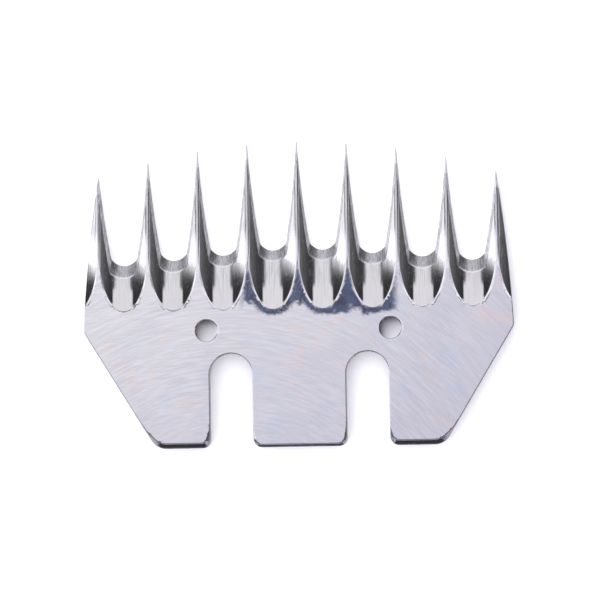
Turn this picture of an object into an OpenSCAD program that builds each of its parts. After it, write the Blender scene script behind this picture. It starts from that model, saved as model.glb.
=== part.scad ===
// Nine-tooth comb for powered sheep shears: one ground and polished piece of tool steel.
// Frame: X across the comb, +Y towards the tooth points, +Z up out of the skin-side face.
// The cutter-side face lies on z = 0. The origin is midway between the two comb-screw slot ends.

/* [Blank] */
// Thickness of the ground plate
plate_t = 3.6; // [3.0:0.1:4.2]
// Distance from the middle line of the outermost teeth out to the shoulders
side_margin = 2.92; // [1.92:0.1:3.92]
// Distance from the slot centres forward to the shoulders
shoulder_y = 8.4; // [6:0.2:10]
// Distance from the slot centres back to the rear edge of the heels
heel_y = 13.5; // [11:0.5:16]
// Angle of the slanted sides behind the shoulders, from the Y axis
slant_deg = 31.2; // [26:0.2:34]
// Radius of the outer heel corners
heel_corner_r = 3.2; // [1:0.2:4]
// Radius of the slot-mouth corners
mouth_corner_r = 1.6; // [0.6:0.2:1.6]
// Width, seen from above, of the rear bevel on the two outer heels
outer_bevel_w = 0.85; // [0.3:0.05:1.2]
// Width, seen from above, of the rear bevel on the middle heel
middle_bevel_w = 0.45; // [0.2:0.05:1.2]
// Slope of the rear bevels
rear_bevel_deg = 40; // [30:1:60]

/* [Comb screw slots] */
// Distance between the two comb screws
slot_pitch = 25.4; // [24:0.1:27]
// Width of each slot
slot_w = 8.0; // [7:0.1:8.4]

/* [Locating recesses] */
// Distance between the two blind recesses
recess_pitch = 34.2; // [32:0.1:36]
// Distance of the recesses forward of the slot centres
recess_y = 8.3; // [7:0.1:9]
// Radius of each recess
recess_r = 2.1; // [1.6:0.1:2.4]
// Depth of the straight wall of each recess
recess_d = 0.9; // [0.4:0.1:1.4]
// Radius of the shallow dished floor of each recess
recess_dish_r = 12; // [8:0.5:16]

/* [Teeth] */
// Number of teeth
teeth = 9; // [9:2:11]
// Distance between neighbouring points
tooth_pitch = 9.27; // [8.9:0.01:9.4]
// Distance from the slot centres to the middle point
tip_y = 43.3; // [42:0.1:45]
// Radius of the arc that the points lie on
tip_arc_r = 116.5; // [100:0.5:140]
// Thickness left at each point
tip_t = 0.22; // [0.15:0.01:0.3]
// Length of the sloping facet behind each point
facet_l = 3; // [1.5:0.1:4]

/* [Gaps between the teeth] */
// Distance from the slot centres to the gap floor on the centre line
gap_y = 23.5; // [22.5:0.1:24]
// How far the gap floors fall back, per unit of distance from the centre line
gap_fall = 0.086; // [0.06:0.002:0.1]
// Half width of the gap where its sides leave the round throat
gap_half_w = 2.54; // [2.4:0.02:2.6]
// Radius of the long curve that each gap side follows
gap_side_r = 169; // [140:1:200]
// Half of the width left at each point
tip_half_w = 0.1; // [0.06:0.01:0.2]
// Draft of the gap sides, as run per unit of height
gap_draft = 0.25; // [0.1:0.01:0.3]
// Radius of the sloping throat cutter
throat_r = 3.2; // [3:0.1:3.6]
// Backward lean of the throat cutter
throat_lean = 32; // [28:1:38]
// Half angle of the throat cutter
throat_half_angle = 11; // [8:1:14]

/* [Scallops] */
// Distance from the slot centres to where the scallops start
scallop_y = 12.1; // [11:0.1:13]
// Downward slope of the scallops
scallop_deg = 8.8; // [8.4:0.1:8.9]
// Half width of a scallop
scallop_half_w = 4.62; // [4.57:0.01:4.62]
// Height from the floor of a scallop to its widest level
scallop_h = 1.88; // [1.84:0.02:2.0]
// Width of the narrow flat left along the top of each tooth
ridge_w = 0.17; // [0.14:0.01:0.3]

/* [Hidden] */
$fn = 96;
outer = (teeth - 1) / 2;
half_w = outer * tooth_pitch + side_margin;
lean_reach = throat_r * (cos(throat_lean) + sin(throat_lean) * tan(throat_lean + throat_half_angle));
heel_half_w = half_w - (shoulder_y + heel_y) * tan(slant_deg);
slot_in = (slot_pitch - slot_w) / 2;
slot_out = (slot_pitch + slot_w) / 2;

// Front of the plate: the sides lean in along a long curve towards the outer points.
function side_x(y) = half_w - 0.05 * (y - shoulder_y) - pow(y - shoulder_y, 2) / 580;
function gap_floor(x) = gap_y - gap_fall * abs(x);
function point_y(x) = tip_y - tip_arc_r + sqrt(tip_arc_r * tip_arc_r - x * x);
// Centre of the circle of radius r through p and q that bulges towards +X.
function centre(p, q, r) = let (d = q - p, l = norm(d), n = [d[1], -d[0]] / l)
    (p + q) / 2 - n * sqrt(r * r - l * l / 4);
// Points along a corner arc of radius r about c, from angle a to angle b.
function arc(c, r, a, b, n = 8) = [for (i = [0:n]) c + r * [cos(a + (b - a) * i / n), sin(a + (b - a) * i / n)]];

// Right half of the outline, from the middle heel round to the middle of the front.
function outline() = let (
        m = mouth_corner_r, k = heel_corner_r,
        cx = heel_half_w - k * tan((90 - slant_deg) / 2)
    ) concat(
        arc([slot_in - m, -heel_y + m], m, -90, 0),
        [[slot_in, 0], [slot_out, 0]],
        arc([slot_out + m, -heel_y + m], m, 180, 270),
        arc([cx, -heel_y + k], k, -90, -slant_deg),
        [for (i = [0:16]) let (y = shoulder_y + (tip_y + 2 - shoulder_y) * i / 16) [side_x(y), y]]
    );

module plate() {
    pts = outline();
    linear_extrude(plate_t)
        polygon(concat(pts, [for (i = [len(pts) - 1:-1:0]) [-pts[i][0], pts[i][1]]]));
}

// Round forward end of a comb-screw slot.
module slot_end(side) {
    translate([side * slot_pitch / 2, 0, -1]) cylinder(r = slot_w / 2, h = plate_t + 2);
}

// Shallow blind recess: a straight wall over a dished floor.
module recess(side) {
    sag = recess_dish_r - sqrt(pow(recess_dish_r, 2) - pow(recess_r, 2));
    translate([side * recess_pitch / 2, recess_y, plate_t - recess_d])
        rotate_extrude()
            intersection() {
                translate([0, recess_dish_r - sag]) circle(r = recess_dish_r);
                translate([0, -sag - 1]) square([recess_r, recess_d + sag + 2]);
            }
}

// Oval groove that slopes down towards the points and leaves a ridge on each tooth.
module scallop(x) {
    reach = 70;
    translate([x, scallop_y, plate_t])
        rotate([90 - scallop_deg, 0, 0])
            translate([0, scallop_h, -reach])
                scale([1, scallop_h / scallop_half_w, 1])
                    cylinder(r = scallop_half_w, h = reach + 20);
}

// One drafted side of a gap: a long curve from the throat to the neighbouring point.
module gap_side(x, y0, side) {
    h = plate_t + 2;
    c = centre(
        [gap_half_w, y0 + 2.03],
        [tooth_pitch / 2 - tip_half_w, point_y(abs(x + side * tooth_pitch / 2))],
        gap_side_r
    );
    translate([side * c[0], c[1], 0])
        cylinder(r1 = gap_side_r - gap_draft, r2 = gap_side_r + gap_draft * (h - 1), h = h, $fn = 720);
}

// Through gap: two large drafted curves for the sides and a leaning cone for the sloping throat.
module gap(x) {
    y0 = gap_floor(x);
    yc = y0 + lean_reach;
    yb = y0 + 2;
    a = tan(throat_half_angle);
    translate([x, 0, -1])
        intersection() {
            gap_side(x, y0, 1);
            gap_side(x, y0, -1);
            union() {
                translate([-6, yb, 0]) cube([12, point_y(abs(x) - tooth_pitch / 2) + 0.8 - yb, plate_t + 2]);
                translate([0, yc, 1])
                    rotate([throat_lean, 0, 0])
                        translate([0, 0, -6]) cylinder(r1 = throat_r - 6 * a, r2 = throat_r + 9 * a, h = 15);
            }
        }
}

// Everything behind the arc of the points.
module point_form() {
    translate([0, tip_y - tip_arc_r, -1]) cylinder(r = tip_arc_r, h = plate_t + 2, $fn = 720);
}

// Height of the narrow ridge left between two neighbouring scallops.
function ridge_z(y) = plate_t - (y - scallop_y) * tan(scallop_deg)
    + scallop_h * (1 - sqrt(1 - pow((tooth_pitch - ridge_w) / 2 / scallop_half_w, 2))) / cos(scallop_deg);

// Slope that runs along the tops of all the ridges.
module ridge_slope() {
    translate([-60, 0, ridge_z(0)])
        rotate([-scallop_deg, 0, 0])
            translate([0, -20, 0]) cube([120, 80, 20]);
}

// Flat facet that thins the ridge down to the point.
module point_facet(x) {
    y1 = point_y(x);
    y0 = y1 - facet_l;
    translate([x, y1, tip_t])
        rotate([-atan((ridge_z(y0) - tip_t) / facet_l), 0, 0])
            translate([-1.6, -2 * facet_l, 0]) cube([3.2, 3 * facet_l, plate_t]);
}

// Sloping cut along the rear edge of one heel, between x0 and x1, w wide seen from above.
module rear_bevel(x0, x1, w) {
    translate([x0, -heel_y + w, plate_t])
        rotate([90, 0, 90])
            linear_extrude(x1 - x0)
                polygon([[0, 0], [-3, -3 * tan(rear_bevel_deg)], [-3, 1], [0, 1]]);
}

module comb() {
    color([0.78, 0.78, 0.80])
    difference() {
        difference() {
            intersection() {
                plate();
                point_form();
            }
            ridge_slope();
        }
        for (i = [0:teeth]) scallop((i - teeth / 2) * tooth_pitch);
        for (i = [1:teeth - 1]) gap((i - teeth / 2) * tooth_pitch);
        for (i = [-outer:outer]) point_facet(i * tooth_pitch);
        slot_end(-1);
        slot_end(1);
        recess(-1);
        recess(1);
        rear_bevel(-half_w, -slot_pitch / 2, outer_bevel_w);
        rear_bevel(-slot_pitch / 2, slot_pitch / 2, middle_bevel_w);
        rear_bevel(slot_pitch / 2, half_w, outer_bevel_w);
    }
}

comb();
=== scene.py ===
"""Nine-tooth sheep shearing comb: visual model, materials, light and camera."""

import math

import bpy
import numpy as np
from mathutils import Matrix, Vector, geometry, kdtree


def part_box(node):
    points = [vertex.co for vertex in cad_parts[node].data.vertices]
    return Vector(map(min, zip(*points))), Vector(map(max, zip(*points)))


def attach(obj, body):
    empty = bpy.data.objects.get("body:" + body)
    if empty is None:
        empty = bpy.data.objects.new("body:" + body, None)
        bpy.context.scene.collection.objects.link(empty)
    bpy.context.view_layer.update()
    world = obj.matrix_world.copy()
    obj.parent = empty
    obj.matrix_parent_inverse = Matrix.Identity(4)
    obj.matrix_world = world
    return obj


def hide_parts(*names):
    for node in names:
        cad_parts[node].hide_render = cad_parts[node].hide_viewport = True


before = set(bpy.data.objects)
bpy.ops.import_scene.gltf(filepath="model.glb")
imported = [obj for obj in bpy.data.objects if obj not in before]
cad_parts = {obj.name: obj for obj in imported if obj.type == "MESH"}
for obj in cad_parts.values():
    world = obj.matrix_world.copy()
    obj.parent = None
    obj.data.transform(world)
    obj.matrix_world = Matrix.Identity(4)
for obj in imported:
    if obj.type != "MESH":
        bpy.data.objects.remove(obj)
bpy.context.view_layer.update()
LO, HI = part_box("comb")

# ---------------------------------------------------------------- dimensions, in millimetres
T = (HI[2] - LO[2]) * 1000.0
HALF_W = HI[0] * 1000.0
TIP_Y = HI[1] * 1000.0
HEEL_Y = -LO[1] * 1000.0
TEETH, PITCH, TIP_R, TIP_T, TIP_HW, FACET = 9, 9.27, 116.5, 0.22, 0.1, 3.0
SHOULDER_Y, SLANT = 8.4, math.radians(31.2)
CORNER_R, MOUTH_R = 3.2, 1.6
SLOT_PITCH, SLOT_R = 25.4, 4.0
REC_PITCH, REC_Y, REC_R, REC_D, REC_DISH = 34.2, 8.3, 2.1, 0.9, 12.0
GAP_Y, GAP_FALL, GAP_HW, SIDE_R, DRAFT = 23.5, 0.086, 2.54, 169.0, 0.25
TH_R, TH_LEAN, TH_HALF = 3.2, math.radians(32), math.radians(11)
SC_Y, SC_DEG, SC_A, SC_H, RIDGE_W = 12.1, math.radians(8.8), 4.62, 1.88, 0.17
BEVEL_OUT, BEVEL_MID = 0.85, 0.45
BEVEL_SLOPE = math.tan(math.radians(40))
EDGE_R = 0.16
FOOT = 0.05
OUTER = (TEETH - 1) // 2
REACH = TH_R * (math.cos(TH_LEAN) + math.sin(TH_LEAN) * math.tan(TH_LEAN + TH_HALF))


def point_y(x):
    return TIP_Y - TIP_R + np.sqrt(TIP_R**2 - np.asarray(x, float) ** 2)


def circle_centre(p, q, r):
    d = (q[0] - p[0], q[1] - p[1])
    n = math.hypot(*d)
    k = math.sqrt(r * r - n * n / 4)
    return (p[0] + q[0]) / 2 - d[1] / n * k, (p[1] + q[1]) / 2 + d[0] / n * k


GAPS = [i - TEETH / 2 for i in range(1, TEETH)]
GAP = {}
for g in GAPS:
    cx = g * PITCH
    y0 = GAP_Y - GAP_FALL * abs(cx)
    sides = []
    for s in (1, -1):
        c = circle_centre(
            (GAP_HW, y0 + 2.03),
            (PITCH / 2 - TIP_HW, float(point_y(abs(cx + s * PITCH / 2)))),
            SIDE_R,
        )
        sides.append((s * c[0], c[1]))
    GAP[g] = {"x": cx, "y0": y0, "sides": sides}


def smin(a, b, k):
    h = np.maximum(k - np.abs(a - b), 0.0) / k
    return np.minimum(a, b) - h * h * k * 0.25


def smax(a, b, k):
    return -smin(-a, -b, k)


SPOON, SPOON_L = 0.09, 1.3


def spoon(y):
    """Extra depth with which a scallop enters the plate."""
    return SPOON * (1 - np.exp(-np.maximum(y - SC_Y + 0.3, -3.0) / SPOON_L)) - SPOON * 0.21


def scallop_z(u, y):
    r = 1.0 - np.minimum(np.abs(u) / SC_A, 1.0) ** 2
    z = T + (SC_H * (1.0 - np.sqrt(r)) - (y - SC_Y) * math.sin(SC_DEG)) / math.cos(SC_DEG)
    return z - spoon(y)


RIDGE_0 = float(scallop_z(np.array([(PITCH - RIDGE_W) / 2]), np.array([40.0]))[0]) + math.tan(SC_DEG) * 40.0


def throat_z(u, y, y0):
    s, c, a = math.sin(TH_LEAN), math.cos(TH_LEAN), math.tan(TH_HALF)
    k = 1 + a * a
    yy = y - (y0 + REACH)
    qa = 1 - k * c * c
    qb = 2 * k * c * s * yy - 2 * a * TH_R * c
    qc = u * u + yy * yy - k * s * s * yy * yy + 2 * a * TH_R * s * yy - TH_R**2
    disc = qb * qb - 4 * qa * qc
    z = np.where(disc > 0, (-qb - np.sqrt(np.maximum(disc, 0))) / (2 * qa), 20.0)
    z = np.where(z > 20, 20.0, z)
    return np.where(y > y0 + 2.6, -20.0, z)


def gap_parts(x, y):
    """Side-wall and throat heights for the gap each point belongs to; large where there is no gap."""
    g = np.floor(x / PITCH) + 0.5
    side = np.full(x.shape, 50.0)
    throat = np.full(x.shape, 50.0)
    for key, gp in GAP.items():
        m = np.abs(g - key) < 0.1
        if not m.any():
            continue
        u, yy = x[m] - gp["x"], y[m]
        z = [
            (np.hypot(u - sx, yy - sy) - SIDE_R) / DRAFT for sx, sy in gp["sides"]
        ]
        side[m] = np.maximum(z[0], z[1]) + FOOT
        throat[m] = throat_z(u, yy, gp["y0"]) + FOOT
    return side, throat


def dimple(x, y):
    """Depth of the blind recesses."""
    out = np.zeros(x.shape)
    for s in (-1, 1):
        rho = np.hypot(x - s * REC_PITCH / 2, y - REC_Y)
        t = np.clip((REC_R + 0.05 - rho) / 0.13, 0, 1)
        wall = t * t * (3 - 2 * t)
        dish = np.sqrt(np.maximum(REC_DISH**2 - np.minimum(rho, REC_R) ** 2, 0)) - math.sqrt(
            REC_DISH**2 - REC_R**2
        )
        out += wall * (REC_D + dish)
    return out


def base_height(x, y, d):
    """Height of the skin side, with every convex edge slightly rounded. d is the distance in from the outer outline."""
    g = np.clip(np.floor(x / PITCH), -OUTER - 1, OUTER) + 0.5
    sc = scallop_z(x - g * PITCH, y)
    ridge = RIDGE_0 - math.tan(SC_DEG) * y
    z = smin(np.full(x.shape, T), ridge, 0.10)
    j = np.clip(np.round(x / PITCH), -OUTER, OUTER)
    y1 = point_y(j * PITCH)
    slope = (RIDGE_0 - math.tan(SC_DEG) * (y1 - FACET) - TIP_T) / FACET
    z = smin(z, TIP_T + (y1 - y) * slope, 0.05)
    z = smin(z, sc, 0.09)
    side, throat = gap_parts(x, y)
    z = smin(z, smax(side, throat, 0.55), 0.10)
    # rear bevels, which follow the rounded corners a little way up the sides
    w = np.where(np.abs(x) < SLOT_PITCH / 2, BEVEL_MID, BEVEL_OUT)
    rear = y + HEEL_Y
    fade = np.clip((rear - 1.0) / 2.4, 0, 1)
    db = np.minimum(d, rear + 9 * (rear > 3.4))
    zb = T + BEVEL_SLOPE * (db - w * (1 - 0.9 * fade))
    zb = np.where(y > -HEEL_Y + 4.5, 50.0, zb)
    z = smin(z, zb, 0.16)
    z = z - dimple(x, y)
    return z


def height(x, y, d):
    z = base_height(x, y, d)
    r = np.minimum(EDGE_R, 0.45 * np.maximum(z, 0.05))
    t = np.clip(1 - d / r, 0, 1)
    return z - r * (1 - np.sqrt(np.maximum(1 - t * t, 0)))


# ---------------------------------------------------------------- outline
def arc(c, r, a, b, n):
    t = np.radians(np.linspace(a, b, n + 1))
    return [(c[0] + r * math.cos(v), c[1] + r * math.sin(v)) for v in t]


def line(p, q, step):
    n = max(1, int(round(math.dist(p, q) / step)))
    return [(p[0] + (q[0] - p[0]) * i / n, p[1] + (q[1] - p[1]) * i / n) for i in range(n + 1)]


def side_x(y):
    return HALF_W - 0.05 * (y - SHOULDER_Y) - (y - SHOULDER_Y) ** 2 / 580


def gap_wall(gp, s, y):
    """X of a gap wall's foot, from the gap centre, on side s."""
    sx, sy = gp["sides"][0 if s > 0 else 1]
    return sx + s * np.sqrt(SIDE_R**2 - (y - sy) ** 2)


def gap_contour(g, start_y, end_y):
    """Foot of one gap from its right point, back round the throat, to its left point."""
    gp = GAP[g]
    y0 = gp["y0"]
    hub = y0 + 3.4
    right = [(gp["x"] + float(gap_wall(gp, 1, y)), y) for y in np.linspace(start_y, hub, 56)]
    left = [(gp["x"] + float(gap_wall(gp, -1, y)), y) for y in np.linspace(hub, end_y, 56)]
    psi = np.radians(np.linspace(0, -180, 61))[1:-1]
    lo, hi = np.full(psi.shape, 0.5), np.full(psi.shape, 5.0)
    for _ in range(40):
        mid = (lo + hi) / 2
        x = gp["x"] + mid * np.cos(psi)
        y = hub + mid * np.sin(psi)
        sd, th = gap_parts(x, y)
        solid = smax(sd, th, 0.55) > FOOT
        hi = np.where(solid, mid, hi)
        lo = np.where(solid, lo, mid)
    bottom = [
        (gp["x"] + r * math.cos(p), hub + r * math.sin(p)) for r, p in zip((lo + hi) / 2, psi)
    ]
    return right + bottom + left


def outline():
    """Closed outline, anticlockwise, and a flag per point: 1 on an outer edge, 0 on a gap foot."""
    step = 0.3
    heel = HALF_W - (SHOULDER_Y + HEEL_Y) * math.tan(SLANT)
    ci, co = SLOT_PITCH / 2 - SLOT_R, SLOT_PITCH / 2 + SLOT_R
    k, m = CORNER_R, MOUTH_R
    cx = heel - k * math.tan((math.pi / 2 - SLANT) / 2)
    right = []
    right += line((0, -HEEL_Y), (ci - m, -HEEL_Y), step)
    right += arc((ci - m, -HEEL_Y + m), m, -90, 0, 14)
    right += line((ci, -HEEL_Y + m), (ci, 0), step)
    right += arc((SLOT_PITCH / 2, 0), SLOT_R, 180, 0, 60)
    right += line((co, 0), (co, -HEEL_Y + m), step)
    right += arc((co + m, -HEEL_Y + m), m, 180, 270, 14)
    right += line((co + m, -HEEL_Y), (cx, -HEEL_Y), step)
    right += arc((cx, -HEEL_Y + k), k, -90, -math.degrees(SLANT), 20)
    a0 = math.radians(-math.degrees(SLANT))
    p0 = (cx + k * math.cos(a0), -HEEL_Y + k + k * math.sin(a0))
    # shoulder with a small radius
    sr = 0.45
    p1 = (HALF_W - sr * math.sin(SLANT), SHOULDER_Y - sr * math.cos(SLANT))
    p2 = (side_x(SHOULDER_Y + sr), SHOULDER_Y + sr)
    right += line(p0, p1, step)
    for i in range(1, 6):
        t = i / 6
        right.append(
            (
                (1 - t) ** 2 * p1[0] + 2 * t * (1 - t) * (HALF_W - 0.02) + t * t * p2[0],
                (1 - t) ** 2 * p1[1] + 2 * t * (1 - t) * SHOULDER_Y + t * t * p2[1],
            )
        )
    xe = OUTER * PITCH
    ye = float(point_y(xe))
    n = 100
    right += [(side_x(y), y) for y in np.linspace(p2[1], ye - 0.12, n)]
    out = [(p, 1) for p in right]

    def tip(xk, hw_r, hw_l, y):
        return [
            ((xk + hw_r * math.cos(v) if math.cos(v) > 0 else xk + hw_l * math.cos(v), y - 0.12 + 0.12 * math.sin(v)), 2)
            for v in np.radians(np.linspace(0, 180, 9))[1:-1]
        ]

    out += tip(xe, side_x(ye) - xe, TIP_HW, ye)
    for i in range(OUTER, -OUTER, -1):
        g = i - 0.5
        y_a, y_b = float(point_y(i * PITCH)) - 0.12, float(point_y((i - 1) * PITCH)) - 0.12
        out += [(p, 0) for p in gap_contour(g, y_a, y_b)]
        if i - 1 > -OUTER:
            out += tip((i - 1) * PITCH, TIP_HW, TIP_HW, y_b + 0.12)
    out += tip(-xe, TIP_HW, side_x(ye) - xe, ye)
    out += [((-p[0], p[1]), 1) for p in reversed(right)]
    pts, flags = [], []
    for p, f in out:
        if pts and math.dist(p, pts[-1]) < 0.012:
            continue
        pts.append(p)
        flags.append(f)
    while math.dist(pts[0], pts[-1]) < 0.012:
        pts.pop()
        flags.pop()
    return np.array(pts, float), np.array(flags)


def nearest(px, py, pts, use):
    """Distance and inward direction from the outline segments that use marks."""
    n = len(pts)
    keep = use & np.roll(use, -1)
    ends = np.nonzero(keep | np.roll(keep, 1))[0]
    tree = kdtree.KDTree(len(ends))
    for i in ends:
        tree.insert((float(pts[i, 0]), float(pts[i, 1]), 0.0), int(i))
    tree.balance()
    near = np.array([[f[1] for f in tree.find_n((u, v, 0.0), 3)] for u, v in zip(px.tolist(), py.tolist())])
    cand = np.concatenate([near, (near - 1) % n], 1)
    a, b = pts[cand], pts[(cand + 1) % n]
    ab = b - a
    l2 = np.maximum((ab**2).sum(2), 1e-12)
    p = np.stack([px, py], 1)
    t = np.clip(((p[:, None, :] - a) * ab).sum(2) / l2, 0, 1)
    q = a + t[..., None] * ab
    dd = ((p[:, None, :] - q) ** 2).sum(2)
    dd[~keep[cand]] = 1e9
    j = dd.argmin(1)
    r = np.arange(len(p))
    dist = np.sqrt(dd[r, j])
    v = p - q[r, j]
    e = ab[r, j] / np.sqrt(l2[r, j])[:, None]
    inward = np.stack([-e[:, 1], e[:, 0]], 1)
    v = np.where((dist < 1e-4)[:, None], inward, v / np.maximum(np.sqrt((v**2).sum(1)), 1e-9)[:, None])
    return dist, v[:, 0], v[:, 1]


def inside(px, py, pts):
    """Even-odd test of many points."""
    res = np.zeros(len(px), bool)
    x0, y0 = pts[:, 0], pts[:, 1]
    x1, y1 = np.roll(x0, -1), np.roll(y0, -1)
    for i in range(0, len(px), 6000):
        xx, yy = px[i : i + 6000, None], py[i : i + 6000, None]
        c = (y0 > yy) != (y1 > yy)
        with np.errstate(divide="ignore", invalid="ignore"):
            xi = (x1 - x0) * (yy - y0) / (y1 - y0) + x0
        res[i : i + 6000] = ((c & (xx < xi)).sum(1) % 2) == 1
    return res


# ---------------------------------------------------------------- sample points
def feature_points():
    """Points along each edge of the form, a few rows on either side of it."""
    xs, ys = [], []

    def add(x, y):
        xs.append(np.asarray(x, float).ravel())
        ys.append(np.asarray(y, float).ravel())

    rows = np.array([-0.14, -0.07, -0.025, 0.025, 0.07, 0.14])
    for i in range(TEETH + 1):
        gx = (i - TEETH / 2) * PITCH
        # rim of the scallop on the flat plate
        t = np.linspace(-1, 1, 150)
        u = 4.54 * np.sin(t * math.pi / 2)
        s = math.sin(SC_DEG)
        y = SC_Y + SC_H * (1 - np.sqrt(1 - (u / SC_A) ** 2)) / s
        dy = np.gradient(y) / np.maximum(np.gradient(u), 1e-6)
        n = np.hypot(dy, 1)
        for o in (-0.22, -0.1, -0.03, 0.05, 0.14):
            add(gx + u - o * dy / n * -1, y + o / n * -1)
        # ridge edges, one pair per tooth
    for j in range(-OUTER, OUTER + 1):
        tx = j * PITCH
        ty = float(point_y(tx))
        y = np.arange(20.5, ty - 0.1, 0.16)
        for o in (0.0, 0.045, 0.085, 0.12, 0.17, 0.25):
            add(tx + o + 0 * y, y)
            if o:
                add(tx - o + 0 * y, y)
        # cross rows where the point facet starts
        for o in (-0.25, -0.12, 0, 0.12, 0.25):
            x = np.linspace(-0.45, 0.45, 13)
            add(tx + x, ty - FACET + o + 0 * x)
    for gp in GAP.values():
        y0 = gp["y0"]
        # top of each side wall, where it meets the scallop
        for s in (1, -1):
            ty = float(point_y(abs(gp["x"] + s * PITCH / 2)))
            y = np.arange(y0 - 1.6, ty - 0.25, 0.16)
            lo = np.full(y.shape, 0.2)
            hi = np.full(y.shape, PITCH / 2 - 0.02)
            for _ in range(34):
                mid = (lo + hi) / 2
                sd, _t = gap_parts(gp["x"] + s * mid, y)
                above = sd > np.minimum(scallop_z(mid, y), T)
                hi = np.where(above, mid, hi)
                lo = np.where(above, lo, mid)
            u = (lo + hi) / 2
            for o in rows * 0.8:
                ok = (u + o) < PITCH / 2 - 0.02
                add((gp["x"] + s * (u + o))[ok], y[ok])
            # the wall itself
            foot = gap_wall(gp, s, y) * s
            for k in (0.3, 0.6):
                ok = (y > y0 + 2.2) & (u - foot > 0.15)
                add((gp["x"] + s * (foot + k * (u - foot)))[ok], y[ok])
            # middle of the flank
            uu = (u + PITCH / 2 - 0.1) / 2
            add(gp["x"] + s * uu, y)
            add(gp["x"] + s * (uu * 0.5 + 0.5 * (PITCH / 2 - 0.1)), y)
            add(gp["x"] + s * (uu * 0.5 + 0.5 * u), y)
        # back edge of the throat slope
        u = np.linspace(-2.9, 2.9, 46)
        lo, hi = np.full(u.shape, y0 - 4.5), np.full(u.shape, y0 + 1.0)
        for _ in range(34):
            mid = (lo + hi) / 2
            sd, th = gap_parts(gp["x"] + u, mid)
            above = smax(sd, th, 0.55) > scallop_z(u, mid)
            lo = np.where(above, mid, lo)
            hi = np.where(above, hi, mid)
        y = (lo + hi) / 2
        for o in (-0.16, -0.08, -0.03, 0.03, 0.08, 0.16):
            add(gp["x"] + u, y + o)
        # fine grid over the throat and its corners
        gxs, gys = np.meshgrid(np.arange(-3.1, 3.11, 0.17), np.arange(-2.6, 2.6, 0.17))
        add(gp["x"] + gxs, y0 + gys)
    for s in (-1, 1):
        cx = s * REC_PITCH / 2
        for r, n in (
            (2.42, 72), (2.26, 80), (2.18, 84), (2.14, 88), (2.11, 88), (2.085, 88), (2.06, 88),
            (2.03, 84), (1.99, 84), (1.93, 80), (1.8, 60), (1.5, 44), (1.1, 32), (0.7, 20), (0.35, 10), (0.0, 1),
        ):
            v = np.arange(n) / n * 2 * math.pi
            add(cx + r * np.cos(v), REC_Y + r * np.sin(v))
    # rear bevels
    for w, x0, x1 in (
        (BEVEL_MID, -9.4, 9.4), (BEVEL_OUT, 15.0, 29.0), (BEVEL_OUT, -29.0, -15.0),
    ):
        x = np.arange(x0, x1, 0.2)
        for o in (-0.16, -0.08, 0.0, 0.08, 0.16, 0.3):
            add(x, -HEEL_Y + w + o + 0 * x)
    return np.concatenate(xs), np.concatenate(ys)


def grid_points():
    xs, ys = [], []
    for step, y0, y1 in ((0.7, -13.2, 11.4), (0.36, 11.4, 24.5)):
        n = 0
        y = y0
        while y < y1:
            x = np.arange(-40.5 + (n % 2) * step / 2, 40.5, step)
            xs.append(x)
            ys.append(np.full(x.shape, y))
            y += step * 0.866
            n += 1
    # finer cover round the heel corners
    for cx in (-27, -16.5, -9.3, 9.3, 16.5, 27):
        gx, gy = np.meshgrid(np.arange(cx - 2.6, cx + 2.6, 0.22), np.arange(-13.3, -9.4, 0.22))
        xs.append(gx.ravel())
        ys.append(gy.ravel())
    return np.concatenate(xs), np.concatenate(ys)


def cells(x, y, size):
    return np.floor(x / size).astype(np.int64) * 1000003 + np.floor(y / size).astype(np.int64)


def spread(x, y, gap):
    """Indices of points that keep at least the gap between each other, the earlier ones first."""
    _, first = np.unique(cells(x, y, gap), return_index=True)
    first.sort()
    u, v = x[first], y[first]
    key = cells(u, v, gap)
    order = np.argsort(key, kind="stable")
    keys = key[order]
    me_ = np.arange(len(u))
    bad = np.zeros(len(u), bool)
    for a in (-1, 0, 1):
        for b in (-1, 0, 1):
            if a == 0 and b == 0:
                continue
            pos = np.minimum(np.searchsorted(keys, key + a * 1000003 + b), len(keys) - 1)
            other = order[pos]
            hit = keys[pos] == key + a * 1000003 + b
            bad |= hit & (other < me_) & ((u - u[other]) ** 2 + (v - v[other]) ** 2 < gap * gap)
    return first[~bad]


def beside(x, y, others_x, others_y, size):
    """True where a cell of that size, or one next to it, already holds a point."""
    taken = np.unique(cells(others_x, others_y, size))
    out = np.zeros(len(x), bool)
    for a in (-1, 0, 1):
        for b in (-1, 0, 1):
            out |= np.isin(cells(x, y, size) + a * 1000003 + b, taken)
    return out


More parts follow.
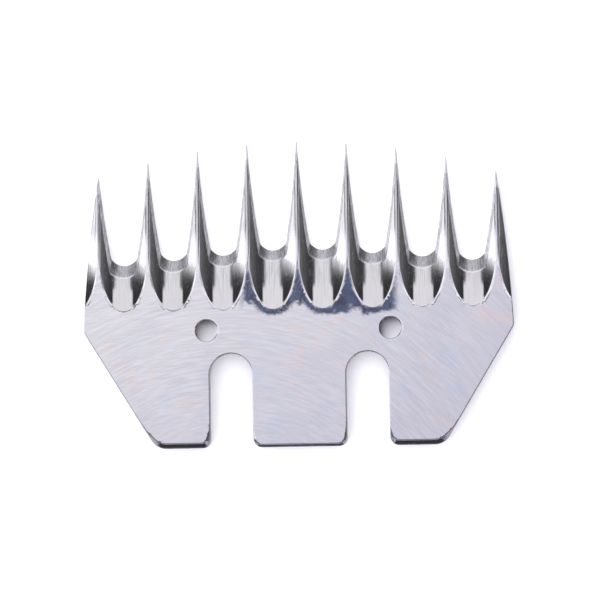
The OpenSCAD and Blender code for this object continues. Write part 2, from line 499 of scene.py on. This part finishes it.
# ---------------------------------------------------------------- mesh
def comb_mesh():
    pts, flags = outline()
    n_out = len(pts)
    outer_edge = flags == 1
    fx, fy = feature_points()
    gx, gy = grid_points()
    # rows just inside the outer edges, where the edge break rolls over
    a = np.roll(pts, 1, axis=0)
    b = np.roll(pts, -1, axis=0)
    tang = b - a
    tang /= np.linalg.norm(tang, axis=1)[:, None]
    inward = np.stack([-tang[:, 1], tang[:, 0]], 1)
    ex, ey = [], []
    for o in (0.012, 0.035, 0.07, 0.115, 0.17, 0.3):
        sel = outer_edge & (np.arange(n_out) % (1 if o < 0.2 else 2) == 0)
        ex.append(pts[sel, 0] + inward[sel, 0] * o)
        ey.append(pts[sel, 1] + inward[sel, 1] * o)
    ex, ey = np.concatenate(ex), np.concatenate(ey)
    px = np.concatenate([ex, fx, gx])
    py = np.concatenate([ey, fy, gy])
    gap = np.concatenate([np.full(len(ex), 0.010), np.full(len(fx), 0.034), np.full(len(gx), 0.30)])
    everywhere = np.ones(n_out, bool)
    ok = inside(px, py, pts)
    px, py, gap = px[ok], py[ok], gap[ok]
    d_any, _, _ = nearest(px, py, pts, everywhere)
    d_out, _, _ = nearest(px, py, pts, outer_edge)
    near = np.where(gap < 0.02, 0.009, np.where(gap < 0.2, 0.045, 0.16))
    near = np.where((gap >= 0.02) & (d_out < 0.2), np.maximum(near, 0.2), near)
    ok = (d_any > near) & (py < point_y(np.clip(px, -40, 40)) - 0.02)
    px, py, gap = px[ok], py[ok], gap[ok]
    kept_x, kept_y = np.empty(0), np.empty(0)
    for size, clear in ((0.010, 0.0), (0.034, 0.011), (0.30, 0.12)):
        sel = np.nonzero(gap == size)[0]
        if clear:
            sel = sel[~beside(px[sel], py[sel], kept_x, kept_y, clear)]
        sel = sel[spread(px[sel], py[sel], size if size < 0.1 else 0.19)]
        kept_x = np.concatenate([kept_x, px[sel]])
        kept_y = np.concatenate([kept_y, py[sel]])
    px, py = kept_x, kept_y

    coords = [Vector(p) for p in pts] + [Vector((float(u), float(v))) for u, v in zip(px, py)]
    ring = [(i, (i + 1) % n_out) for i in range(n_out)]
    vs, _, tris, src, _, _ = geometry.delaunay_2d_cdt(coords, ring, [], 1, 1e-6)
    vx = np.array([v[0] for v in vs])
    vy = np.array([v[1] for v in vs])
    rim = np.full(len(vs), -1)
    for i, ids in enumerate(src):
        for k in ids:
            if k < n_out:
                rim[i] = k
    used = np.zeros(len(vs), bool)
    tri = np.array([t for t in tris if len(t) == 3])
    cx, cy = vx[tri].mean(1), vy[tri].mean(1)
    tri = tri[inside(cx, cy, pts)]
    used[tri.ravel()] = True
    remap = np.cumsum(used) - 1
    tri = remap[tri]
    vx, vy, rim = vx[used], vy[used], rim[used]
    area = (vx[tri[:, 1]] - vx[tri[:, 0]]) * (vy[tri[:, 2]] - vy[tri[:, 0]]) - (
        vx[tri[:, 2]] - vx[tri[:, 0]]
    ) * (vy[tri[:, 1]] - vy[tri[:, 0]])
    tri[area < 0] = tri[area < 0][:, ::-1]

    on_rim = rim >= 0
    d, nx, ny = nearest(vx, vy, pts, outer_edge)
    d[on_rim & (d < 1e-4)] = 0.0
    z = np.maximum(height(vx, vy, d), 0.035)

    # normals of the skin side, from the height itself
    e = 0.006
    dp = lambda k: np.maximum(d + k, 0.0)
    hx = (height(vx + e, vy, dp(e * nx)) - height(vx - e, vy, dp(-e * nx))) / (2 * e)
    hy = (height(vx, vy + e, dp(e * ny)) - height(vx, vy - e, dp(-e * ny))) / (2 * e)
    nrm = np.stack([-hx, -hy, np.ones_like(hx)], 1)
    nrm /= np.linalg.norm(nrm, axis=1)[:, None]
    edge = on_rim & (d == 0)
    nrm[edge] = np.stack([-nx[edge], -ny[edge], np.full(edge.sum(), 0.12)], 1)
    nrm /= np.linalg.norm(nrm, axis=1)[:, None]

    # what each part of the surface is, for the material
    g = np.clip(np.floor(vx / PITCH), -OUTER - 1, OUTER) + 0.5
    sc = scallop_z(vx - g * PITCH, vy)
    side, throat = gap_parts(vx, vy)
    wall = smax(side, throat, 0.55)
    is_wall = np.clip((np.minimum(sc, T) - wall) / 0.04 + 0.5, 0, 1)
    is_sc = np.clip((np.minimum(T, RIDGE_0 - math.tan(SC_DEG) * vy) - sc) / 0.03 + 0.5, 0, 1) * (1 - is_wall)
    # painted highlight: a pale line along the upper edge of every scallop
    ue = np.minimum(np.abs(vx - g * PITCH), SC_A - 0.05) / SC_A
    steep = np.hypot(SC_H / SC_A * ue / np.sqrt(1 - ue**2), math.tan(SC_DEG))
    off = (T - sc) / steep
    rim_highlight = np.exp(-(((off - 0.02) / 0.11) ** 2)) * (vy < 26) * (1 - is_wall)
    # painted highlight: a pale line along the crest of each tooth ridge
    from_ridge = np.abs(vx - np.clip(np.round(vx / PITCH), -OUTER, OUTER) * PITCH)
    ridge_highlight = np.exp(-((from_ridge / 0.12) ** 2)) * np.clip((vy - 22.0) / 3.0, 0, 0.8) * (1 - is_wall)
    # painted highlight: a pale ring just outside each recess, stronger towards its right
    rho = np.minimum(np.hypot(vx - REC_PITCH / 2, vy - REC_Y), np.hypot(vx + REC_PITCH / 2, vy - REC_Y))
    turn = np.clip((vx - np.sign(vx) * REC_PITCH / 2) / np.maximum(rho, 0.1), -1, 1)
    lip_highlight = np.exp(-(((rho - REC_R - 0.12) / 0.09) ** 2)) * (0.35 + 0.35 * turn)
    rim_highlight = np.maximum(np.maximum(rim_highlight, ridge_highlight), lip_highlight)
    # painted highlight: a pale line where the scallops meet the gap walls, fainter further up the teeth and away from
    # the gap centre
    crest_highlight = np.exp(-(((sc - wall) / 0.13) ** 2)) * (np.abs(wall) < 10) * np.clip((GAP_Y + 1.5 - vy) / 4, 0.25, 1)
    crest_highlight *= np.clip((2.1 - np.abs(vx - g * PITCH)) / 0.6, 0.18, 1)
    rho = np.minimum(np.hypot(vx - REC_PITCH / 2, vy - REC_Y), np.hypot(vx + REC_PITCH / 2, vy - REC_Y))
    is_pit = np.clip((REC_R - 0.10 - rho) / 0.10, 0, 1)

    n_top = len(vx)
    rim_of = np.full(n_out, -1)
    rim_of[rim[on_rim]] = np.nonzero(on_rim)[0]
    order = [i for i in range(n_out) if rim_of[i] >= 0]
    top_ring = rim_of[order]
    verts = np.concatenate(
        [np.stack([vx, vy, z], 1), np.stack([vx[top_ring], vy[top_ring], np.zeros(len(order))], 1)]
    )
    m = len(order)
    faces = [tuple(int(v) for v in t) for t in tri]
    kinds = [0] * len(faces)
    for i in range(m):
        j = (i + 1) % m
        faces.append((int(top_ring[i]), n_top + i, n_top + j, int(top_ring[j])))
        kinds.append(1)
    base = [Vector((float(vx[k]), float(vy[k]))) for k in top_ring]
    bring = [(i, (i + 1) % m) for i in range(m)]
    bv, _, bt, bsrc, _, _ = geometry.delaunay_2d_cdt(base, bring, [], 1, 1e-6)
    if len(bv) != m:
        raise RuntimeError("outline crosses itself")
    ids = [s_[0] for s_ in bsrc]
    bx = np.array([v[0] for v in bv])
    by = np.array([v[1] for v in bv])
    bt = [t for t in bt if len(t) == 3]
    bc = np.array(bt)
    ok = inside(bx[bc].mean(1), by[bc].mean(1), pts)
    for t, good in zip(bt, ok):
        if not good:
            continue
        a_, b_, c_ = t
        if (bx[b_] - bx[a_]) * (by[c_] - by[a_]) - (bx[c_] - bx[a_]) * (by[b_] - by[a_]) > 0:
            t = (a_, c_, b_)
        faces.append(tuple(n_top + ids[k] for k in t))
        kinds.append(2)

    me = bpy.data.meshes.new("ground_comb")
    me.from_pydata([tuple(v) for v in verts / 1000.0], [], faces)
    me.update()
    for name, values in (("scallop", is_sc), ("wall", is_wall), ("rim", rim_highlight), ("crest", crest_highlight), ("pit", is_pit)):
        att = me.attributes.new(name, "FLOAT", "POINT")
        full = np.zeros(len(verts), np.float32)
        full[:n_top] = values
        att.data.foreach_set("value", full)
    me.polygons.foreach_set("use_smooth", np.ones(len(faces), bool))
    # loop normals: skin side from the height, edges straight out, cutter side straight down
    loops = np.zeros((len(me.loops), 3))
    lv = np.zeros(len(me.loops), int)
    me.loops.foreach_get("vertex_index", lv)
    start = np.zeros(len(faces), int)
    total = np.zeros(len(faces), int)
    me.polygons.foreach_get("loop_start", start)
    me.polygons.foreach_get("loop_total", total)
    kind = np.repeat(np.array(kinds), total)
    ring_xy = verts[top_ring][:, :2]
    tg = np.roll(ring_xy, -1, axis=0) - np.roll(ring_xy, 1, axis=0)
    tg /= np.linalg.norm(tg, axis=1)[:, None]
    out_n = np.stack([tg[:, 1], -tg[:, 0], np.zeros(m)], 1)
    side_n = np.zeros((len(verts), 3))
    side_n[top_ring] = out_n
    side_n[n_top:] = out_n
    top_n = np.zeros((len(verts), 3))
    top_n[:n_top] = nrm
    loops = np.where((kind == 0)[:, None], top_n[lv], loops)
    loops = np.where((kind == 1)[:, None], side_n[lv], loops)
    loops = np.where((kind == 2)[:, None], np.array([0.0, 0.0, -1.0]), loops)
    me.normals_split_custom_set([tuple(v) for v in loops])
    me.validate()
    me.update()
    return me


comb = bpy.data.objects.new("ground_comb", comb_mesh())
bpy.context.scene.collection.objects.link(comb)
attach(comb, "root")
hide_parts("comb")


# ---------------------------------------------------------------- node helpers
class Tree:
    """Builds a node tree from short calls; a value can be a number, a tuple or another node's output."""

    def __init__(self, tree):
        self.t = tree
        tree.nodes.clear()

    def node(self, kind, inputs=None, **props):
        n = self.t.nodes.new(kind)
        for k, v in props.items():
            setattr(n, k, v)
        for k, v in (inputs or {}).items():
            self.put(n.inputs[k], v)
        return n

    def put(self, socket, v):
        if isinstance(v, bpy.types.NodeSocket):
            self.t.links.new(v, socket)
        else:
            socket.default_value = v

    def m(self, op, *args, clamp=False):
        n = self.t.nodes.new("ShaderNodeMath")
        n.operation = op
        n.use_clamp = clamp
        for i, a in enumerate(args):
            self.put(n.inputs[i], a)
        return n.outputs[0]

    def add(self, a, b):
        return self.m("ADD", a, b)

    def sub(self, a, b):
        return self.m("SUBTRACT", a, b)

    def mul(self, a, b):
        return self.m("MULTIPLY", a, b)

    def step(self, x, a, b):
        """0 at a, 1 at b, smooth between."""
        n = self.node(
            "ShaderNodeMapRange",
            {"Value": x, "From Min": a, "From Max": b, "To Min": 0.0, "To Max": 1.0},
            interpolation_type="SMOOTHSTEP",
        )
        return n.outputs["Result"]

    def lerp(self, f, a, b):
        n = self.node("ShaderNodeMix", data_type="FLOAT")
        self.put(n.inputs[0], f)
        self.put(n.inputs[2], a)
        self.put(n.inputs[3], b)
        return n.outputs[0]

    def mix(self, f, a, b, blend="MIX"):
        n = self.node("ShaderNodeMix", data_type="RGBA", blend_type=blend)
        self.put(n.inputs[0], f)
        self.put(n.inputs[6], a)
        self.put(n.inputs[7], b)
        return n.outputs[2]

    def xyz(self, x, y, z):
        return self.node("ShaderNodeCombineXYZ", {"X": x, "Y": y, "Z": z}).outputs[0]

    def noise(self, vec, scale=1.0, detail=2.0, rough=0.5):
        return self.node(
            "ShaderNodeTexNoise", {"Vector": vec, "Scale": scale, "Detail": detail, "Roughness": rough}
        ).outputs["Fac"]


# ---------------------------------------------------------------- ground steel
def steel():
    mat = bpy.data.materials.new("ground_steel_finish")
    mat.use_nodes = True
    t = Tree(mat.node_tree)
    pos = t.node("ShaderNodeTexCoord").outputs["Object"]
    mm = t.node("ShaderNodeVectorMath", {0: pos, 1: (1000.0, 1000.0, 1000.0)}, operation="MULTIPLY").outputs[0]
    sp = t.node("ShaderNodeSeparateXYZ", {0: mm})
    x, y, z = sp.outputs[0], sp.outputs[1], sp.outputs[2]

    def att(name):
        return t.node("ShaderNodeAttribute", attribute_name=name).outputs["Fac"]

    scallop, wall, rim, crest, pit = att("scallop"), att("wall"), att("rim"), att("crest"), att("pit")
    carved = t.m("MAXIMUM", scallop, wall)
    plate = t.mul(t.sub(1.0, carved), t.sub(1.0, pit))

    # surface-grinding arcs, struck from far points behind and beside the heels
    def struck(cx, cy, fr, fa, seed, detail=4.0):
        dx, dy = t.sub(x, cx), t.sub(y, cy)
        rad = t.m("SQRT", t.add(t.mul(dx, dx), t.mul(dy, dy)))
        ang = t.m("ARCTAN2", dy, dx)
        return t.noise(t.xyz(t.mul(rad, fr), t.mul(ang, fa), seed), 1.0, detail, 0.62)

    arcs = struck(-13.0, -38.0, 1.9, 7.0, 0.0)
    arcs_fine = struck(-13.0, -38.0, 7.0, 12.0, 3.0, 3.0)
    arcs2 = struck(66.0, 52.0, 2.4, 12.0, 9.0)
    here = t.mul(t.step(t.noise(mm, 0.12, 2.0, 0.5), 0.34, 0.62), t.lerp(t.step(x, -13.0, -1.0), 1.0, 0.5))
    right_side = t.step(x, 6.0, 16.0)
    level = t.noise(t.xyz(t.mul(x, 0.22), t.mul(t.add(y, t.mul(x, -0.05)), 4.5), 5.0), 1.0, 4.0, 0.65)
    streak = t.noise(t.xyz(t.mul(x, 5.5), t.mul(y, 0.28), t.mul(z, 0.5)), 1.0, 4.0, 0.65)
    scratch = t.noise(t.xyz(t.mul(x, 8.0), t.mul(y, 0.45), t.mul(z, 0.9)), 1.0, 4.0, 0.7)
    grain = t.noise(mm, 9.0, 3.0, 0.65)
    broad = t.noise(mm, 0.10, 2.0, 0.5)
    broad2 = t.noise(t.node("ShaderNodeVectorMath", {0: mm, 1: (31.0, 7.0, 0.0)}, operation="ADD").outputs[0], 0.21, 3.0, 0.55)

    # relief in metres; the long term is the lengthwise hollow left by the grinding wheel in each scallop
    h_plate = t.add(t.mul(t.mul(arcs, t.lerp(t.step(x, -13.0, -1.0), 1.0, 0.55)), 2.7e-6), t.add(t.mul(arcs_fine, 0.9e-6), t.mul(t.mul(arcs2, right_side), 1.2e-6)))
    rough_part = t.lerp(t.step(y, 15.0, 18.5), 0.30, 1.6)
    h_scallop = t.add(t.mul(t.mul(streak, rough_part), 2.6e-6), t.mul(grain, 0.5e-6))
    turn = t.m("LOGARITHM", t.m("COSH", t.m("DIVIDE", t.sub(y, 18.0), 2.6)), math.e)
    hollow = t.mul(turn, 0.042 * 2.6e-3)
    h_scallop = t.add(h_scallop, hollow)
    h_wall = t.mul(scratch, 5.0e-6)
    h = t.add(t.mul(h_plate, plate), t.add(t.mul(h_scallop, scallop), t.mul(h_wall, wall)))
    bump = t.node("ShaderNodeBump", {"Strength": 1.0, "Distance": 1.0, "Height": h}).outputs[0]

    # colour: lavender-grey steel with faint pink and blue bands; painted shading makes it lighter at the upper left
    col = t.mix(t.step(broad, 0.42, 0.62), (0.705, 0.698, 0.728, 1), (0.742, 0.732, 0.742, 1))
    col = t.mix(t.mul(t.step(broad2, 0.56, 0.70), t.mul(plate, 0.85)), col, (0.84, 0.705, 0.66, 1))
    col = t.mix(t.mul(t.step(broad2, 0.45, 0.30), t.mul(plate, 0.65)), col, (0.61, 0.70, 0.79, 1))
    line_a = t.step(arcs, 0.36, 0.66)
    line_b = t.lerp(right_side, t.step(level, 0.38, 0.66), t.step(arcs2, 0.38, 0.66))
    fine = t.add(t.mul(line_a, 0.62), t.mul(line_b, 0.38))
    col = t.mix(t.mul(plate, t.lerp(here, 0.30, 0.62)), col, t.mix(fine, (0.57, 0.565, 0.60, 1), (0.83, 0.82, 0.85, 1)))
    # painted shading: the plate turns lighter towards the upper left and darker towards the lower right, together with
    # its lavender hue
    place = t.m("ADD", 0.5, t.sub(t.mul(x, 0.0075), t.mul(y, 0.0117)), clamp=True)
    lavender_and_painted_falloff = t.mix(place, (1.10, 1.10, 1.115, 1), (0.78, 0.775, 0.905, 1))
    col = t.mix(plate, col, t.mix(1.0, col, lavender_and_painted_falloff, "MULTIPLY"))
    worn = t.step(y, 15.0, 19.0)
    st = t.step(streak, 0.32, 0.66)
    col = t.mix(t.mul(scallop, 0.55), col, t.mix(worn, (0.76, 0.74, 0.78, 1), (0.66, 0.65, 0.67, 1)))
    col = t.mix(t.mul(scallop, t.lerp(t.step(y, 14.5, 19.5), 0.12, 0.36)), col, t.mix(st, (0.46, 0.455, 0.47, 1), (0.97, 0.965, 0.98, 1)))
    sc = t.step(scratch, 0.34, 0.66)
    col = t.mix(t.mul(wall, 0.72), col, t.mix(sc, (0.26, 0.26, 0.28, 1), (0.98, 0.98, 1.0, 1)))
    # painted highlight: the middle of each throat wall is made brighter
    gx = t.sub(t.mul(t.m("FRACT", t.m("DIVIDE", t.add(x, 92.7), 9.27)), 9.27), 4.635)
    col = t.mix(t.mul(t.mul(wall, t.step(t.m("ABSOLUTE", gx), 1.7, 0.5)), t.lerp(sc, 0.30, 0.75)), col, (0.99, 0.98, 1.0, 1))
    # painted reflection: a dark blue-grey zone, standing in for dark surroundings mirrored in the plate, hugs the three
    # middle scallops
    q = t.m("DIVIDE", gx, 4.64)
    bow = t.m("SQRT", t.sub(1.0, t.mul(q, q)))
    rise = t.mul(0.407, t.m("DIVIDE", q, t.m("MAXIMUM", bow, 0.12)))
    behind_rim = t.sub(t.add(12.1, t.mul(t.sub(1.0, bow), 12.15)), y)
    off_rim = t.m("DIVIDE", t.mul(behind_rim, 0.1548), t.m("SQRT", t.add(t.mul(rise, rise), 0.024)))
    wob = t.mul(t.sub(t.noise(mm, 0.45, 2.0, 0.5), 0.5), 5.5)
    limit = t.add(t.lerp(t.step(x, 1.0, 6.0), 13.5, 11.4), wob)
    fuzz = t.mul(t.sub(t.noise(mm, 1.5, 5.0, 0.8), 0.5), 3.0)
    band = t.mul(t.step(t.sub(off_rim, t.mul(fuzz, 0.45)), 1.45, 0.75), t.step(behind_rim, 5.5, 3.0))
    over = t.m("MAXIMUM", band, t.step(t.add(t.sub(y, limit), fuzz), -0.55, 0.85))
    ends = t.mul(t.step(t.add(x, t.mul(fuzz, 0.6)), -11.2, -9.4), t.step(t.add(x, t.mul(fuzz, 0.6)), 19.0, 17.2))
    top_end = t.step(t.add(y, fuzz), 23.5, 20.0)
    # mask of the painted reflection zone
    dark = t.mul(t.mul(over, t.mul(ends, top_end)), t.mul(plate, 0.96))
    speck = t.step(t.noise(t.xyz(t.mul(t.add(x, y), 1.3), t.mul(t.sub(x, y), 3.4), 0.0), 1.0, 4.0, 0.85), 0.53, 0.68)
    few = t.step(x, 8.0, -1.0)
    painted_reflection_col = t.mix(t.step(t.noise(mm, 0.5, 3.0, 0.6), 0.35, 0.65), (0.050, 0.052, 0.112, 1), (0.070, 0.100, 0.180, 1))
    painted_reflection_col = t.mix(t.mul(speck, t.lerp(few, 0.22, 0.80)), painted_reflection_col, (0.58, 0.60, 0.68, 1))
    col = t.mix(dark, col, painted_reflection_col)
    # painted shading in the recess floors: darker towards the upper left, lighter towards the lower right
    hx = t.sub(x, t.mul(t.m("SIGN", x), 17.1))
    glow = t.m("ADD", 0.60, t.sub(t.mul(hx, 0.10), t.mul(t.sub(y, 8.3), 0.10)), clamp=True)
    col = t.mix(pit, col, t.xyz(glow, t.mul(glow, 0.985), t.mul(glow, 1.05)))
    # painted highlight: the last few millimetres of each tooth point
    yp = t.add(y, TIP_R - TIP_Y)
    to_tip = t.sub(TIP_R, t.m("SQRT", t.add(t.mul(x, x), t.mul(yp, yp))))
    point = t.mul(t.step(to_tip, 3.4, 2.6), t.m("GREATER_THAN", y, 30.0))
    rim_part = t.lerp(t.step(x, -24.0, -15.0), 0.38, 0.80)
    nick = t.step(t.noise(t.node("ShaderNodeVectorMath", {0: mm, 1: (2.6, 1.7, 2.0)}, operation="MULTIPLY").outputs[0], 1.0, 5.0, 0.85), 0.57, 0.70)
    nick = t.mul(t.mul(nick, scallop), t.mul(t.step(y, 14.5, 18.0), t.step(y, 30.0, 22.0)))
    # painted reflection: the left-facing flank ahead of the slanting limit is made pale and non-metallic, with a
    # scratched border
    edge = t.add(t.sub(y, t.sub(22.6, t.mul(gx, 0.65))), t.mul(t.sub(t.noise(t.xyz(t.mul(x, 3.0), t.mul(y, 0.9), 0.0), 1.0, 4.0, 0.75), 0.5), 4.0))
    painted_bright_flank = t.mul(t.mul(t.step(edge, -0.2, 0.9), t.step(gx, 1.9, 2.5)), t.mul(t.step(y, 28.0, 24.0), t.mul(scallop, 0.86)))
    # painted highlights: rim, ridge, lip, crest, point and flank marks turn pale grey and non-metallic; the nicks are
    # light marks in the scallops
    line = t.m("MAXIMUM", t.m("MAXIMUM", t.mul(rim, rim_part), t.mul(crest, 0.62)), t.m("MAXIMUM", t.mul(point, 0.55), t.m("MAXIMUM", t.mul(nick, 0.36), painted_bright_flank)))
    col = t.mix(line, col, (0.62, 0.62, 0.64, 1))

    rough = t.lerp(plate, t.lerp(worn, 0.06, 0.13), t.add(0.17, t.mul(t.sub(arcs_fine, 0.5), 0.14)))
    rough = t.lerp(wall, rough, 0.26)
    rough = t.lerp(pit, rough, 0.27)
    bsdf = t.node(
        "ShaderNodeBsdfPrincipled",
        {"Base Color": col, "Metallic": t.sub(1.0, t.mul(line, 0.95)), "Roughness": rough, "Normal": bump},
    )
    t.node("ShaderNodeOutputMaterial", {"Surface": bsdf.outputs[0]})
    return mat


comb.data.materials.append(steel())

# ---------------------------------------------------------------- floor
floor_me = bpy.data.meshes.new("floor")
F = 3.0
floor_me.from_pydata([(-F, -F, 0), (F, -F, 0), (F, F, 0), (-F, F, 0)], [], [(0, 1, 2, 3)])
floor = bpy.data.objects.new("floor", floor_me)
floor.location = (0, 0, -0.00003)
bpy.context.scene.collection.objects.link(floor)
fmat = bpy.data.materials.new("white_paper")
fmat.use_nodes = True
ft = Tree(fmat.node_tree)
paper = ft.node("ShaderNodeBsdfDiffuse", {"Color": (0.93, 0.93, 0.93, 1)})
way = ft.node("ShaderNodeSeparateXYZ", {0: ft.node("ShaderNodeNewGeometry").outputs["Incoming"]})
leftward = ft.lerp(ft.step(way.outputs[1], -0.24, -0.16), 0.40, 1.05)
glow = ft.lerp(ft.step(way.outputs[0], 0.12, 0.45), ft.lerp(ft.step(way.outputs[0], -0.12, -0.45), 0.54, 0.08), leftward)
steep = ft.lerp(ft.step(way.outputs[0], 0.10, 0.35), ft.lerp(ft.step(way.outputs[0], -0.10, -0.35), 0.42, 0.55), 0.95)
glow = ft.lerp(ft.step(way.outputs[2], 0.50, 0.78), ft.lerp(ft.step(way.outputs[1], 0.08, 0.22), glow, 0.55), steep)
# a dark card lies behind the heels; at a grazing angle the paper is pale all round
aside = ft.sub(ft.m("ABSOLUTE", way.outputs[0]), ft.mul(way.outputs[1], 0.7))
behind = ft.mul(ft.mul(ft.step(aside, 0.10, -0.05), ft.step(way.outputs[1], 0.15, 0.45)), ft.step(way.outputs[2], 0.12, 0.20))
glow = ft.lerp(behind, glow, 0.03)
glow = ft.lerp(ft.step(way.outputs[2], 0.13, 0.08), glow, 0.60)
seen = ft.node("ShaderNodeEmission", {"Color": ft.xyz(glow, ft.mul(glow, 0.985), ft.mul(glow, 1.06)), "Strength": 1.0})
pick = ft.node(
    "ShaderNodeMixShader",
    {0: ft.node("ShaderNodeLightPath").outputs["Is Glossy Ray"], 1: paper.outputs[0], 2: seen.outputs[0]},
)
ft.node("ShaderNodeOutputMaterial", {"Surface": pick.outputs[0]})
floor_me.materials.append(fmat)


# ---------------------------------------------------------------- light
def studio():
    """A light tent: a bright panel overhead, a white card low on the left, dark cards on the right and near the camera."""
    world = bpy.data.worlds.new("studio")
    bpy.context.scene.world = world
    world.use_nodes = True
    t = Tree(world.node_tree)
    d = t.node("ShaderNodeTexCoord").outputs["Generated"]
    sp = t.node("ShaderNodeSeparateXYZ", {0: d})
    x, y, z = sp.outputs[0], sp.outputs[1], sp.outputs[2]
    deg = 180.0 / math.pi
    ax = t.mul(t.m("ARCTAN2", x, z), deg)
    ey = t.mul(t.m("ARCSINE", y), deg)

    wide = t.step(ey, 21.85, 22.3)
    left_edge = t.lerp(wide, -18.0, -23.8)
    right_edge = t.lerp(wide, 12.7, 18.5)
    across = t.mul(t.step(t.sub(ax, left_edge), -1.6, 1.6), t.step(t.sub(ax, right_edge), 1.6, -1.6))
    along = t.mul(t.step(ey, -13.0, -7.0), t.step(ey, 74.0, 50.0))
    panel = t.mul(across, along)

    # right side: black next to the panel, charcoal further out
    right = t.add(0.03, t.mul(t.step(ax, 14.0, 75.0), 0.13))
    # left side: black next to the panel, then a white card that ends above a slanting line

    def ramp(a, b, v):
        return t.node("ShaderNodeMapRange", {"Value": ax, "From Min": a, "From Max": b, "To Min": 0.0, "To Max": v}).outputs["Result"]

    cut = t.sub(t.sub(15.6, ramp(-22.0, -50.0, 1.1)), ramp(-50.0, -92.0, 4.1))
    card = t.mul(t.step(t.sub(ey, cut), 0.45, -0.45), t.step(ax, -20.0, -23.5))
    card = t.mul(card, t.step(ey, -16.0, -6.0))
    left = t.lerp(card, 0.04, 1.45)
    base = t.lerp(t.step(ax, -4.0, 4.0), left, right)
    # the two ends of the tent are pale, with a dark card low behind the heels
    base = t.lerp(t.step(ey, 27.0, 36.0), base, 0.70)
    base = t.lerp(t.step(ey, 52.0, 80.0), base, 0.50)
    base = t.lerp(t.step(ey, -30.0, -38.0), base, 0.66)
    base = t.lerp(t.step(z, 0.12, 0.07), base, 0.62)
    low_card = t.mul(t.step(t.add(t.m("ABSOLUTE", x), t.mul(y, 0.7)), 0.10, -0.05), t.mul(t.step(z, 0.64, 0.54), t.step(ey, -38.0, -46.0)))
    base = t.lerp(low_card, base, 0.03)
    glossy = t.lerp(panel, base, 0.955)

    soft = t.mul(1.70, t.sub(1.0, t.mul(x, 0.42)))
    lp = t.node("ShaderNodeLightPath")
    is_cam, is_glossy = lp.outputs["Is Camera Ray"], lp.outputs["Is Glossy Ray"]
    soft_col = t.mix(1.0, (0.985, 0.975, 1.05, 1), t.xyz(soft, soft, soft), "MULTIPLY")
    gcol = t.mix(1.0, (0.985, 0.98, 1.0, 1), t.xyz(glossy, glossy, glossy), "MULTIPLY")
    col = t.mix(is_glossy, soft_col, gcol)
    col = t.mix(is_cam, col, (1.0, 1.0, 1.0, 1))
    bg = t.node("ShaderNodeBackground", {"Color": col, "Strength": 1.0})
    t.node("ShaderNodeOutputWorld", {"Surface": bg.outputs[0]})


studio()

# ---------------------------------------------------------------- camera
cam_data = bpy.data.cameras.new("camera")
cam_data.sensor_width = 36.0
cam_data.lens = 300.0
cam_data.clip_start = 0.01
cam_data.clip_end = 20.0
cam = bpy.data.objects.new("camera", cam_data)
bpy.context.scene.collection.objects.link(cam)
bpy.context.scene.camera = cam
MM_PER_PX = 0.1856
target = Vector((0.39, 13.672, T)) / 1000.0
away = Vector((math.tan(math.radians(2.5)), -math.tan(math.radians(2.0)), 1.0)).normalized()
dist = (600 * MM_PER_PX / 1000.0) / (36.0 / 300.0)
cam.location = target + away * dist
roll = math.radians(0.956)
up = Vector((math.sin(roll), math.cos(roll), 0.0))
xc = up.cross(away).normalized()
yc = away.cross(xc)
cam.rotation_euler = Matrix((xc, yc, away)).transposed().to_euler()

view = bpy.context.scene.view_settings
view.view_transform = "Standard"
view.look = "None"
view.exposure = 0.0
view.gamma = 1.0
